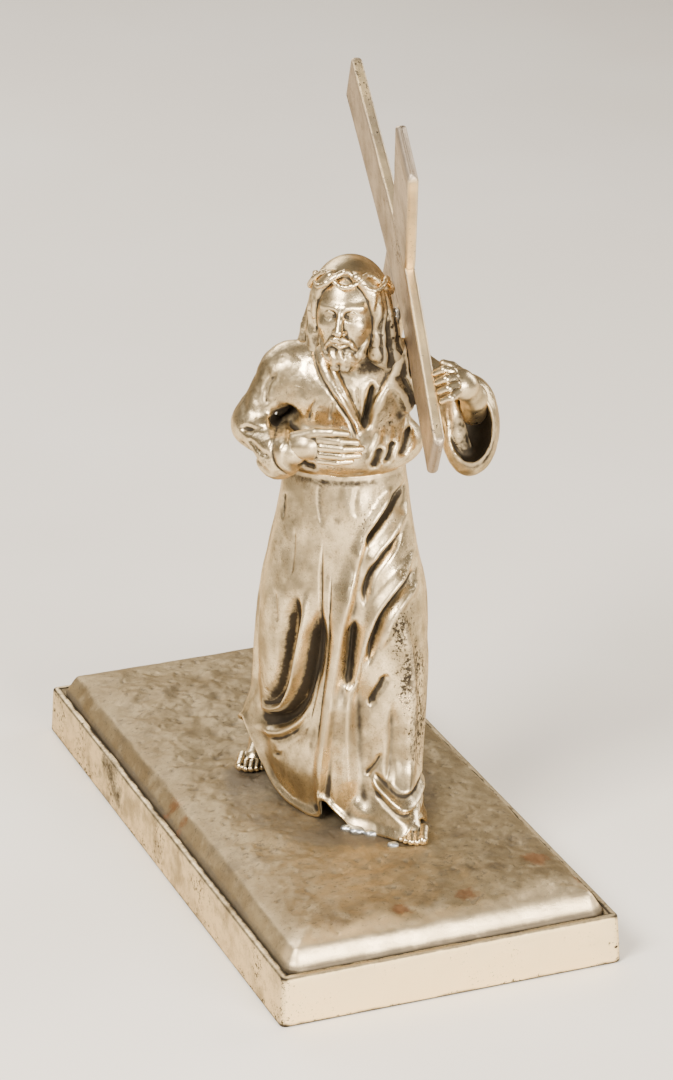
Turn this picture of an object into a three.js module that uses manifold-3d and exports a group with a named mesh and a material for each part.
// A cast statuette of a robed figure that carries a flat cross, on a stepped plinth with rocky ground.
// Millimetres, +Z up. The origin is the middle of the plinth's underside, the plinth's long side runs
// along Y, and the figure walks towards -Y with the cross on its left shoulder.
import * as THREE from 'three';
import * as BufferGeometryUtils from 'three/addons/utils/BufferGeometryUtils.js';
import Module from 'manifold-3d';

const wasm = await Module();
wasm.setup();

// ---- driving dimensions -------------------------------------------------------------------------
const BASE_WIDTH = 70;
const BASE_LENGTH = 140;
const WALL_HEIGHT = 10;
const WALL_DRAFT = 0.5; // how far the plinth's wall leans in over its height
const LEDGE = 2; // flat rim between the plinth's edge and the ground plate
const BEVEL_INSET = 2.2;
const BEVEL_TOP = 13.8;
const GROUND_TOP = 15; // height of the ground where the figure stands
const FIGURE_AT = [1, -11];
const FIGURE_TURN = THREE.MathUtils.degToRad(-21.6); // the chest turns this much from straight ahead
const GAP = 0.3; // clearance left between neighbouring pieces

const WALL_THICKNESS = 2.6;
const FLANGE_WIDTH = 7.5;
const FLANGE_BOTTOM = 6.2;
const FLANGE_TOP = 8.4;
const SCREW_INSET = 8.6; // from the plinth's sides to each plate screw
const SCREW_RADIUS = 1;
const SCREW_HEAD_RADIUS = 2;
const SCREW_HEAD_HEIGHT = 1.4;
const SCREW_TIP = 11.4;
const STUD_RADIUS = 2;
const STUD_BOTTOM = 1.6;
const STUD_TOP = 24;
const NUT_RADIUS = 4; // across the corners
const NUT_HEIGHT = 3.2;
const WASHER_RADIUS = 5;
const WASHER_HEIGHT = 1;

const WAIST = 85.5; // height of the seam between skirt and bodice
const TENON_RADIUS = 5;
const TENON_HEIGHT = 4;

const BAR_WIDTH = 12.4;
const UPRIGHT_THICKNESS = 2.2;
const BEAM_THICKNESS = 2.1;
const UPRIGHT_ABOVE = 43.4; // from the crossing's middle to the upright's top
const UPRIGHT_BELOW = 44.2;
const BEAM_REACH = 37.8; // from the crossing's middle to each end of the beam
const CROSSING_AT = [10.8, 7.7, 125.3]; // in the figure's frame
const CROSS_LEAN = [-49.9, -10.8, 4.7].map(THREE.MathUtils.degToRad);
// Sideways run per millimetre of the arms past the crossing, which were bent when the cross was fitted.
const HEAD_BEND = 0.026;
const FOOT_BEND = 0.053;
const NEAR_ARM_BEND = 0.082;
const EDGE_ROUNDING = 0.35;

const BONE_SIDES = 8; // facets round a limb
const FACET_TOLERANCE = 0.05; // how far merging small facets may move a surface

const SILVER = { color: 0xb9a98c, roughness: 0.34, metalness: 1 };
const GROUND_SILVER = { color: 0xa3957a, roughness: 0.55, metalness: 1 };
const STEEL = { color: 0x9a9a98, roughness: 0.4, metalness: 1 };
const SOLDER = { color: 0xaab2bb, roughness: 0.5, metalness: 1 };

// ---- solids and booleans ------------------------------------------------------------------------
function toManifold(geometry) {
  const bare = geometry.index ? geometry.toNonIndexed() : geometry.clone();
  bare.deleteAttribute('normal');
  bare.deleteAttribute('uv');
  const merged = BufferGeometryUtils.mergeVertices(bare, 1e-4);
  const triVerts = Uint32Array.from(dropFlatTriangles(merged.index.array));
  const vertProperties = Float32Array.from(merged.attributes.position.array);
  return new wasm.Manifold(new wasm.Mesh({ numProp: 3, vertProperties, triVerts }));
}

function dropFlatTriangles(index) {
  const kept = [];
  for (let i = 0; i < index.length; i += 3) {
    const [a, b, c] = index.slice(i, i + 3);
    if (a !== b && b !== c && c !== a) kept.push(a, b, c);
  }
  return kept;
}

function toGeometry(solid) {
  const mesh = solid.getMesh();
  const geometry = new THREE.BufferGeometry();
  geometry.setAttribute('position', new THREE.BufferAttribute(mesh.vertProperties, 3));
  geometry.setIndex(new THREE.BufferAttribute(mesh.triVerts, 1));
  return geometry.toNonIndexed();
}

const join = (...solids) => solids.reduce((whole, solid) => whole.add(solid));
const cut = (solid, ...tools) => largest(tools.reduce((rest, tool) => rest.subtract(tool), solid));

// Keeps the main body when a cut leaves crumbs beside it.
function largest(solid) {
  const bodies = solid.decompose();
  bodies.sort((a, b) => b.volume() - a.volume());
  return bodies[0];
}

function place(geometry, [x, y, z], turn = [0, 0, 0]) {
  const move = new THREE.Matrix4().makeRotationFromEuler(new THREE.Euler(...turn));
  geometry.applyMatrix4(move.setPosition(x, y, z));
  return geometry;
}

const ball = ([x, y, z], [rx, ry, rz], turn) =>
  toManifold(place(new THREE.SphereGeometry(1, 12, 8).scale(rx, ry, rz), [x, y, z], turn));

// An upright cylinder from z = bottom to z = top.
function post(x, y, bottom, top, radius, sides = 16) {
  const geometry = new THREE.CylinderGeometry(radius, radius, top - bottom, sides);
  geometry.rotateX(Math.PI / 2);
  return toManifold(geometry.translate(x, y, (bottom + top) / 2));
}

// A tapered rod with round ends between two points.
function bone(from, to, radiusFrom, radiusTo) {
  const start = new THREE.Vector3(...from);
  const end = new THREE.Vector3(...to);
  const axis = end.clone().sub(start);
  const rod = new THREE.CylinderGeometry(radiusTo, radiusFrom, axis.length(), BONE_SIDES);
  const turn = new THREE.Quaternion().setFromUnitVectors(
    new THREE.Vector3(0, 1, 0),
    axis.clone().normalize(),
  );
  rod.applyQuaternion(turn);
  const middle = start.clone().add(end).multiplyScalar(0.5);
  rod.translate(middle.x, middle.y, middle.z);
  const ends = [
    [start, radiusFrom],
    [end, radiusTo],
  ].map(([p, r]) => {
    const round = new THREE.SphereGeometry(r, BONE_SIDES, BONE_SIDES / 2);
    round.applyQuaternion(turn);
    return toManifold(round.translate(p.x, p.y, p.z));
  });
  return join(toManifold(rod), ...ends);
}

// A chain of bones through points given as [x, y, z, radius].
function limb(points, grow = 0) {
  const bones = [];
  for (let i = 1; i < points.length; i += 1) {
    const [x0, y0, z0, r0] = points[i - 1];
    const [x1, y1, z1, r1] = points[i];
    bones.push(bone([x0, y0, z0], [x1, y1, z1], r0 + grow, r1 + grow));
  }
  return join(...bones);
}

// A slab with draft: a rounded rectangle inset from the plinth's outline, from bottom to top.
function slab(insetBottom, insetTop, bottom, top, cornerRadius) {
  const halfWidth = BASE_WIDTH / 2 - insetBottom;
  const halfLength = BASE_LENGTH / 2 - insetBottom;
  const outline = new THREE.Shape();
  outline.moveTo(-halfWidth + cornerRadius, -halfLength);
  [
    [1, -1, -90],
    [1, 1, 0],
    [-1, 1, 90],
    [-1, -1, 180],
  ].forEach(([sideX, sideY, startDegrees]) => {
    const start = THREE.MathUtils.degToRad(startDegrees);
    const centreX = sideX * (halfWidth - cornerRadius);
    const centreY = sideY * (halfLength - cornerRadius);
    outline.absarc(centreX, centreY, cornerRadius, start, start + Math.PI / 2, false);
  });
  const depth = top - bottom;
  const geometry = new THREE.ExtrudeGeometry(outline, { depth, bevelEnabled: false, curveSegments: 3 });
  const position = geometry.attributes.position;
  const scaleX = (BASE_WIDTH / 2 - insetTop) / halfWidth;
  const scaleY = (BASE_LENGTH / 2 - insetTop) / halfLength;
  for (let i = 0; i < position.count; i += 1) {
    if (position.getZ(i) > depth / 2) {
      position.setX(i, position.getX(i) * scaleX);
      position.setY(i, position.getY(i) * scaleY);
    }
  }
  return toManifold(geometry.translate(0, 0, bottom));
}

// A closed draped form. Rings are [z, centreX, centreY, halfWidth, halfDepth, shear]: shear pushes the
// front to +X and the back to -X. Between rings the values blend smoothly, folds() gives the relative
// depth of the pleats, and the two ends are flat.
function draped(rings, steps, sides, folds = () => 0) {
  const bottom = rings[0][0];
  const top = rings[rings.length - 1][0];
  const profile = [new THREE.Vector2(0, 0)];
  for (let i = 0; i <= steps; i += 1) profile.push(new THREE.Vector2(1, i / steps));
  profile.push(new THREE.Vector2(0, 1));
  const geometry = new THREE.LatheGeometry(profile, sides);
  geometry.rotateX(Math.PI / 2);
  const curve = new THREE.CatmullRomCurve3(rings.map(([z, x, y]) => new THREE.Vector3(x, y, z)));
  const sizes = new THREE.CatmullRomCurve3(rings.map(([, , , a, b, k]) => new THREE.Vector3(a, b, k)));
  const position = geometry.attributes.position;
  for (let i = 0; i < position.count; i += 1) {
    const level = THREE.MathUtils.clamp(position.getZ(i), 0, 1);
    const centre = curve.getPoint(level);
    const size = sizes.getPoint(level);
    const unitX = position.getX(i);
    const unitY = position.getY(i);
    const swell = 1 + folds(Math.atan2(unitY, unitX), level);
    const offsetY = unitY * size.y * swell;
    const offsetX = unitX * size.x * swell - size.z * offsetY;
    const z = THREE.MathUtils.clamp(centre.z, bottom, top);
    position.setXYZ(i, centre.x + offsetX, centre.y + offsetY, z);
  }
  return toManifold(geometry);
}

// ---- base ---------------------------------------------------------------------------------------
function plinthFrame() {
  const body = slab(0, WALL_DRAFT, 0, WALL_HEIGHT, 1);
  const cavity = slab(WALL_THICKNESS, WALL_THICKNESS, -1, FLANGE_BOTTOM, 1.5);
  const window = slab(FLANGE_WIDTH + LEDGE, FLANGE_WIDTH + LEDGE, 0, WALL_HEIGHT + 1, 3);
  const rebate = slab(LEDGE, LEDGE, FLANGE_TOP, WALL_HEIGHT + 1, 1);
  const holes = screwPlaces().map(([x, y]) => post(x, y, 0, WALL_HEIGHT, SCREW_RADIUS + GAP, 12));
  return cut(body, cavity, window, rebate, ...holes);
}

function screwPlaces() {
  const x = BASE_WIDTH / 2 - SCREW_INSET + LEDGE;
  const y = BASE_LENGTH / 2 - SCREW_INSET + LEDGE;
  return [
    [-x, -y],
    [x, -y],
    [x, y],
    [-x, y],
  ];
}

// Gentle hummocks of the rocky ground, fading out at the rim and where the figure stands.
function groundRelief(x, y) {
  const rim = Math.min(BASE_WIDTH / 2 - Math.abs(x), BASE_LENGTH / 2 - Math.abs(y)) - LEDGE - BEVEL_INSET;
  const rise = THREE.MathUtils.smoothstep(rim, 0, 11);
  const away = Math.hypot(x - FIGURE_AT[0], (y - FIGURE_AT[1]) * 0.75);
  const rough = THREE.MathUtils.smoothstep(away, 22, 34) * rise;
  const waves = Math.sin(x * 0.31 + 1.2) * Math.sin(y * 0.23 + 0.4) + 0.6 * Math.sin(x * 0.13 - y * 0.37);
  return BEVEL_TOP + (GROUND_TOP - BEVEL_TOP) * rise + 0.25 * waves * rough;
}

function groundPlate() {
  const bottom = FLANGE_TOP + GAP;
  const lip = slab(LEDGE + GAP, LEDGE + GAP, bottom, WALL_HEIGHT + 0.2, 1);
  const geometry = new THREE.BoxGeometry(1, 1, 1, 12, 24, 1);
  const position = geometry.attributes.position;
  for (let i = 0; i < position.count; i += 1) {
    const upper = position.getZ(i) > 0;
    const inset = LEDGE + (upper ? BEVEL_INSET : GAP);
    const x = position.getX(i) * (BASE_WIDTH - 2 * inset);
    const y = position.getY(i) * (BASE_LENGTH - 2 * inset);
    position.setXYZ(i, x, y, upper ? groundRelief(x, y) : WALL_HEIGHT);
  }
  const holes = screwPlaces().map(([x, y]) => post(x, y, bottom - 1, SCREW_TIP + GAP, SCREW_RADIUS + GAP, 12));
  const studHole = post(...FIGURE_AT, bottom - 1, GROUND_TOP + 2, STUD_RADIUS + GAP);
  return cut(join(lip, toManifold(geometry)), ...holes, studHole);
}

function plateScrew([x, y]) {
  const headTop = FLANGE_BOTTOM - GAP;
  const head = post(x, y, headTop - SCREW_HEAD_HEIGHT, headTop, SCREW_HEAD_RADIUS);
  return join(head, post(x, y, headTop - 0.1, SCREW_TIP, SCREW_RADIUS, 12));
}

const figureStud = (grow = 0) => post(0, 0, STUD_BOTTOM - grow, STUD_TOP + grow, STUD_RADIUS + grow);

function studWasher() {
  const top = FLANGE_TOP;
  const disc = post(0, 0, top - WASHER_HEIGHT, top, WASHER_RADIUS);
  return cut(disc, post(0, 0, 0, WALL_HEIGHT, STUD_RADIUS + GAP));
}

function studNut() {
  const top = FLANGE_TOP - WASHER_HEIGHT - GAP;
  const hexagon = post(0, 0, top - NUT_HEIGHT, top, NUT_RADIUS, 6);
  return cut(hexagon, post(0, 0, 0, WALL_HEIGHT, STUD_RADIUS + GAP));
}

// ---- cross --------------------------------------------------------------------------------------
// The crossing's middle is the origin, the upright runs along Z, the beam along Y, thickness along X.
const crossMatrix = new THREE.Matrix4()
  .makeRotationFromEuler(new THREE.Euler(...CROSS_LEAN))
  .setPosition(...CROSSING_AT);

// One flat bar seen from its edge, from -below to above along Y, with both arms bent towards -X.
function bar(thickness, below, above, lowBend, highBend, grow) {
  const half = thickness / 2 + grow;
  const bendAt = BAR_WIDTH / 2;
  const low = -below - grow;
  const high = above + grow;
  const lowShift = -lowBend * (-bendAt - low);
  const highShift = -highBend * (high - bendAt);
  const side = new THREE.Shape();
  side.moveTo(-half + lowShift, low);
  side.lineTo(half + lowShift, low);
  side.lineTo(half, -bendAt);
  side.lineTo(half, bendAt);
  side.lineTo(half + highShift, high);
  side.lineTo(-half + highShift, high);
  side.lineTo(-half, bendAt);
  side.lineTo(-half, -bendAt);
  const geometry = new THREE.ExtrudeGeometry(side, {
    depth: BAR_WIDTH + 2 * grow - 2 * EDGE_ROUNDING,
    bevelThickness: EDGE_ROUNDING,
    bevelSize: EDGE_ROUNDING,
    bevelOffset: -EDGE_ROUNDING,
    bevelSegments: 1,
  });
  return geometry.translate(0, 0, -(BAR_WIDTH / 2 + grow) + EDGE_ROUNDING);
}

function upright(grow = 0) {
  const geometry = bar(UPRIGHT_THICKNESS, UPRIGHT_BELOW, UPRIGHT_ABOVE, FOOT_BEND, HEAD_BEND, grow);
  return toManifold(geometry.rotateX(Math.PI / 2));
}

const beam = (grow = 0) =>
  toManifold(bar(BEAM_THICKNESS, BEAM_REACH, BEAM_REACH, NEAR_ARM_BEND, 0, grow));

// Half of the crossing's thickness, on the side given by the sign, as a block to cut a notch with.
function lapBlock(side, spanY, spanZ) {
  const block = new THREE.BoxGeometry(4, spanY, spanZ);
  return toManifold(block.translate(side * (2 - GAP / 2), 0, 0));
}

const notch = BAR_WIDTH + 2 * GAP;
const crossUpright = () => cut(upright(), lapBlock(1, 2 * BAR_WIDTH, notch));
const crossBeam = () => cut(beam(), lapBlock(-1, notch, 2 * BAR_WIDTH));

// The whole cross with clearance round it, in the figure's frame, for cutting its neighbours.
function crossRoom() {
  const room = join(upright(GAP), beam(GAP));
  return room.transform(crossMatrix.elements);
}

// ---- figure -------------------------------------------------------------------------------------
const SKIRT_RINGS = [
  [GROUND_TOP + GAP, -1, 3.5, 14, 20, 0.45],
  [24, -0.6, 2.5, 15.2, 17, 0.36],
  [36, -0.4, 1, 16, 14.2, 0.24],
  [52, -0.4, -0.5, 16.2, 12.2, 0.1],
  [66, -0.4, -0.5, 14.6, 10.6, 0],
  [WAIST - GAP, 0.2, -0.5, 11.6, 8.4, 0],
];
const PLEATS = 9;

function skirtFolds(angle, level) {
  const depth = 0.06 * (1 - level) + 0.015;
  return depth * Math.cos(PLEATS * angle + 2 * level);
}

const waistTenon = (grow = 0) => post(0, -0.5, WAIST - 2, WAIST + TENON_HEIGHT + grow, TENON_RADIUS + grow);

const FEET = {
  right: [
    [-14.5, 24, GROUND_TOP + 5, 2.8],
    [-16.6, 18, GROUND_TOP + 3.2, 2.7],
    [-18.4, 13, GROUND_TOP + 2.1, 1.8],
  ],
  left: [
    [10, -7, GROUND_TOP + 6.5, 3],
    [12, -14, GROUND_TOP + 3.8, 2.8],
    [13.2, -19.5, GROUND_TOP + 2.2, 1.9],
  ],
};
const TOES = 5;
const TOE_LENGTH = 3;

// A bare foot: ankle, instep and a fan of five toes.
function foot(side, grow = 0) {
  const points = FEET[side];
  const [ankle, , ball3] = points;
  const heading = Math.atan2(ball3[1] - ankle[1], ball3[0] - ankle[0]);
  const across = [-Math.sin(heading), Math.cos(heading)];
  const toes = [];
  for (let i = 0; i < TOES; i += 1) {
    const spread = (i - (TOES - 1) / 2) * 1.2;
    const x = ball3[0] + across[0] * spread;
    const y = ball3[1] + across[1] * spread;
    const tipX = x + Math.cos(heading) * TOE_LENGTH;
    const tipY = y + Math.sin(heading) * TOE_LENGTH;
    toes.push(bone([x, y, ball3[2] - 0.4], [tipX, tipY, GROUND_TOP + 1.3], 1 + grow, 0.9 + grow));
  }
  return join(limb(points, grow), ...toes);
}

const BODICE_RINGS = [
  [WAIST, 0.6, -0.8, 12.4, 9, 0],
  [90, 0.4, -1.2, 14.2, 10.4, 0],
  [96, 0, -1, 14.4, 10.2, 0],
  [103, 0, -0.6, 15, 9.2, 0],
  [108.5, 0.6, 0, 14, 7.4, 0],
  [112, 0.8, 0.4, 8.4, 5, 0],
];

const RIGHT_SLEEVE = [
  [-11.5, -0.5, 104, 5],
  [-17, -2, 94.5, 5],
  [-13.5, -9.5, 92.2, 4.6],
];
const LEFT_UPPER_SLEEVE = [
  [14, -0.5, 105.5, 4.6],
  [23, -5.5, 99, 5],
];
const CUFF_AT = [24, -8, 97.3]; // the wide hanging end of the left sleeve
const CUFF_RADII = [5.6, 7.6, 9.6];
const CUFF_HOLLOW_AT = [23.6, -13, 99.3];
const CUFF_HOLLOW_RADII = [4.3, 7.2, 7.2];

const RIGHT_WRIST = [
  [-12, -10.5, 92.6, 2],
  [-6.5, -13, 93.6, 2.4],
];
const LEFT_WRIST = [
  [24.4, -9, 101, 2.2],
  [24.2, -14.5, 106, 2.4],
  [21.2, -19.2, 109.4, 2.2],
];
const LEFT_KNUCKLE = [18.6, -18.8, 112.4, 0.8];
const LEFT_FINGERTIP = [17.2, -18.4, 111.4, 0.7];
const LEFT_FINGER_STEP = [0.4, -1.5, -1.3]; // from one finger to the next, down the upright's edge
const FINGERS = 4;

function rightHand(grow = 0) {
  const fingers = [];
  for (let i = 0; i < FINGERS; i += 1) {
    const z = 95.4 - i * 1.45;
    const knuckle = [-4.4, -13.3, z];
    const tip = [2.6 - Math.abs(i - 1) * 0.6, -12.9, z - 0.2];
    fingers.push(bone(knuckle, tip, 0.95 + grow, 0.8 + grow));
  }
  return join(limb(RIGHT_WRIST, grow), ...fingers);
}

function leftHand(grow = 0) {
  const fingers = [];
  for (let i = 0; i < FINGERS; i += 1) {
    const [knuckle, tip] = [LEFT_KNUCKLE, LEFT_FINGERTIP].map(([x, y, z, radius]) => [
      x + i * LEFT_FINGER_STEP[0],
      y + i * LEFT_FINGER_STEP[1],
      z + i * LEFT_FINGER_STEP[2],
      radius,
    ]);
    fingers.push(limb([LEFT_WRIST[2], knuckle, tip], grow));
  }
  return join(limb(LEFT_WRIST, grow), ...fingers);
}

const leftSleeve = (grow = 0) =>
  join(limb(LEFT_UPPER_SLEEVE, grow), ball(CUFF_AT, CUFF_RADII.map((r) => r + grow)));

const HEAD_AT = [0.8, -1.6, 118.6];
const HEAD_TURN = THREE.MathUtils.degToRad(-14);

// Hair cap, face, beard, locks on the shoulders and the neck's spigot.
function head(grow = 0) {
  const [x, y, z] = HEAD_AT;
  const forward = [Math.sin(HEAD_TURN), -Math.cos(HEAD_TURN)];
  const ahead = (distance, height) => [x + forward[0] * distance, y + forward[1] * distance, z + height];
  const sized = (...radii) => radii.map((r) => r + grow);
  const cap = ball([x, y, z + 2.2], sized(7.6, 8, 8.6), [0, 0, HEAD_TURN]);
  const face = ball(ahead(2.6, -1.6), sized(5.4, 5.6, 8.4), [0, 0, HEAD_TURN]);
  const nose = bone(ahead(7.6, 1.6), ahead(9.1, -1.8), 0.5 + grow, 0.9 + grow);
  const beard = ball(ahead(4.6, -7.6), sized(3.6, 3.2, 3.6), [0, 0, HEAD_TURN]);
  const locks = [-1, 1].map((side) =>
    bone([x + side * 5.6, y + 1, z + 1], [x + side * 6.4, y + 0.5, z - 8], 2.6 + grow, 2.4 + grow),
  );
  const back = bone([x, y + 3, z + 1], [x, y + 3.4, z - 8], 5.4 + grow, 4.6 + grow);
  const neck = post(x, y + 1, z - 14, z - 4, 3.6 + grow);
  return join(cap, face, nose, beard, ...locks, back, neck);
}

const CROWN_RADIUS = 7.5;
const CROWN_TUBE = 0.6;
const CROWN_WAVE = 1.5;
const CROWN_LOOPS = 4; // twice this many crossings round the head

// Two wavy rings that cross each other round the brow, cut clear of the hair.
function crown() {
  const bands = [0, Math.PI].map((phase) => {
    const geometry = new THREE.TorusGeometry(CROWN_RADIUS, CROWN_TUBE, 5, 40);
    const position = geometry.attributes.position;
    for (let i = 0; i < position.count; i += 1) {
      const angle = Math.atan2(position.getY(i), position.getX(i));
      const lift = CROWN_WAVE * Math.sin(CROWN_LOOPS * angle + phase);
      position.setZ(i, position.getZ(i) + lift);
    }
    geometry.scale(1.03, 1.12, 1);
    return place(geometry, [HEAD_AT[0], HEAD_AT[1], HEAD_AT[2] + 4], [0.1, 0, HEAD_TURN]);
  });
  return join(...bands.map(toManifold));
}

const SHOULDER_SOLDER = [9.4, 2.5, 112.5];
const HEM_SOLDER = [1, -16.5, GROUND_TOP + 1];
const FOOT_SOLDER = [9, -22.5, GROUND_TOP + 0.9];

const shoulderSolder = (grow = 0) => ball(SHOULDER_SOLDER, [1.2 + grow, 2.2 + grow, 3 + grow]);
const hemSolder = (grow = 0) => ball(HEM_SOLDER, [2.6 + grow, 1.2 + grow, 0.7 + grow]);
const footSolder = (grow = 0) => ball(FOOT_SOLDER, [1.6 + grow, 0.9 + grow, 0.6 + grow]);

// ---- assembly -----------------------------------------------------------------------------------
function named(name, solid, look) {
  const light = largest(solid.simplify(FACET_TOLERANCE));
  const mesh = new THREE.Mesh(toGeometry(light), new THREE.MeshStandardMaterial(look));
  mesh.name = name;
  return mesh;
}

function baseGroup() {
  const group = new THREE.Group();
  group.add(named('plinth_frame', plinthFrame(), SILVER));
  group.add(named('ground_plate', groundPlate(), GROUND_SILVER));
  screwPlaces().forEach((spot, i) => group.add(named(`plate_screw_${i + 1}`, plateScrew(spot), STEEL)));
  return group;
}

function crossGroup() {
  const group = new THREE.Group();
  group.add(named('cross_upright', crossUpright(), SILVER));
  group.add(named('cross_beam', crossBeam(), SILVER));
  group.rotation.set(...CROSS_LEAN);
  group.position.set(...CROSSING_AT);
  return group;
}

function figureGroup() {
  const cross = crossRoom();
  const leftHandSolid = cut(leftHand(), cross);
  const leftSleeveSolid = cut(leftSleeve(), ball(CUFF_HOLLOW_AT, CUFF_HOLLOW_RADII), leftHand(GAP), cross);
  const rightSleeve = cut(limb(RIGHT_SLEEVE), rightHand(GAP));
  const headSolid = cut(head(), cross);
  const crownSolid = cut(crown(), head(GAP), cross);
  const skirt = cut(
    join(draped(SKIRT_RINGS, 9, 27, skirtFolds), waistTenon()),
    foot('right', GAP),
    foot('left', GAP),
    figureStud(GAP),
    hemSolder(GAP),
  );
  const bodice = cut(
    draped(BODICE_RINGS, 7, 24),
    waistTenon(GAP),
    limb(RIGHT_SLEEVE, GAP),
    leftSleeve(GAP),
    rightHand(GAP),
    leftHand(GAP),
    head(GAP),
    cross,
    shoulderSolder(GAP),
  );
  const pieces = {
    figure_stud: [figureStud(), STEEL],
    stud_washer: [studWasher(), STEEL],
    stud_nut: [studNut(), STEEL],
    robe_skirt: [skirt, SILVER],
    right_foot: [foot('right'), SILVER],
    left_foot: [foot('left'), SILVER],
    robe_bodice: [bodice, SILVER],
    right_sleeve: [rightSleeve, SILVER],
    right_hand: [rightHand(), SILVER],
    left_sleeve: [leftSleeveSolid, SILVER],
    left_hand: [leftHandSolid, SILVER],
    head: [headSolid, SILVER],
    crown_of_thorns: [crownSolid, SILVER],
    shoulder_solder: [cut(shoulderSolder(), cross, head(GAP), leftSleeve(GAP)), SOLDER],
    hem_solder: [hemSolder(), SOLDER],
    foot_solder: [cut(footSolder(), foot('left', GAP)), SOLDER],
  };
  const group = new THREE.Group();
  Object.entries(pieces).forEach(([name, [solid, look]]) => group.add(named(name, solid, look)));
  group.add(crossGroup());
  group.position.set(...FIGURE_AT, 0);
  group.rotation.z = FIGURE_TURN;
  return group;
}

const statuette = new THREE.Group();
statuette.add(baseGroup());
statuette.add(figureGroup());

export default statuette;
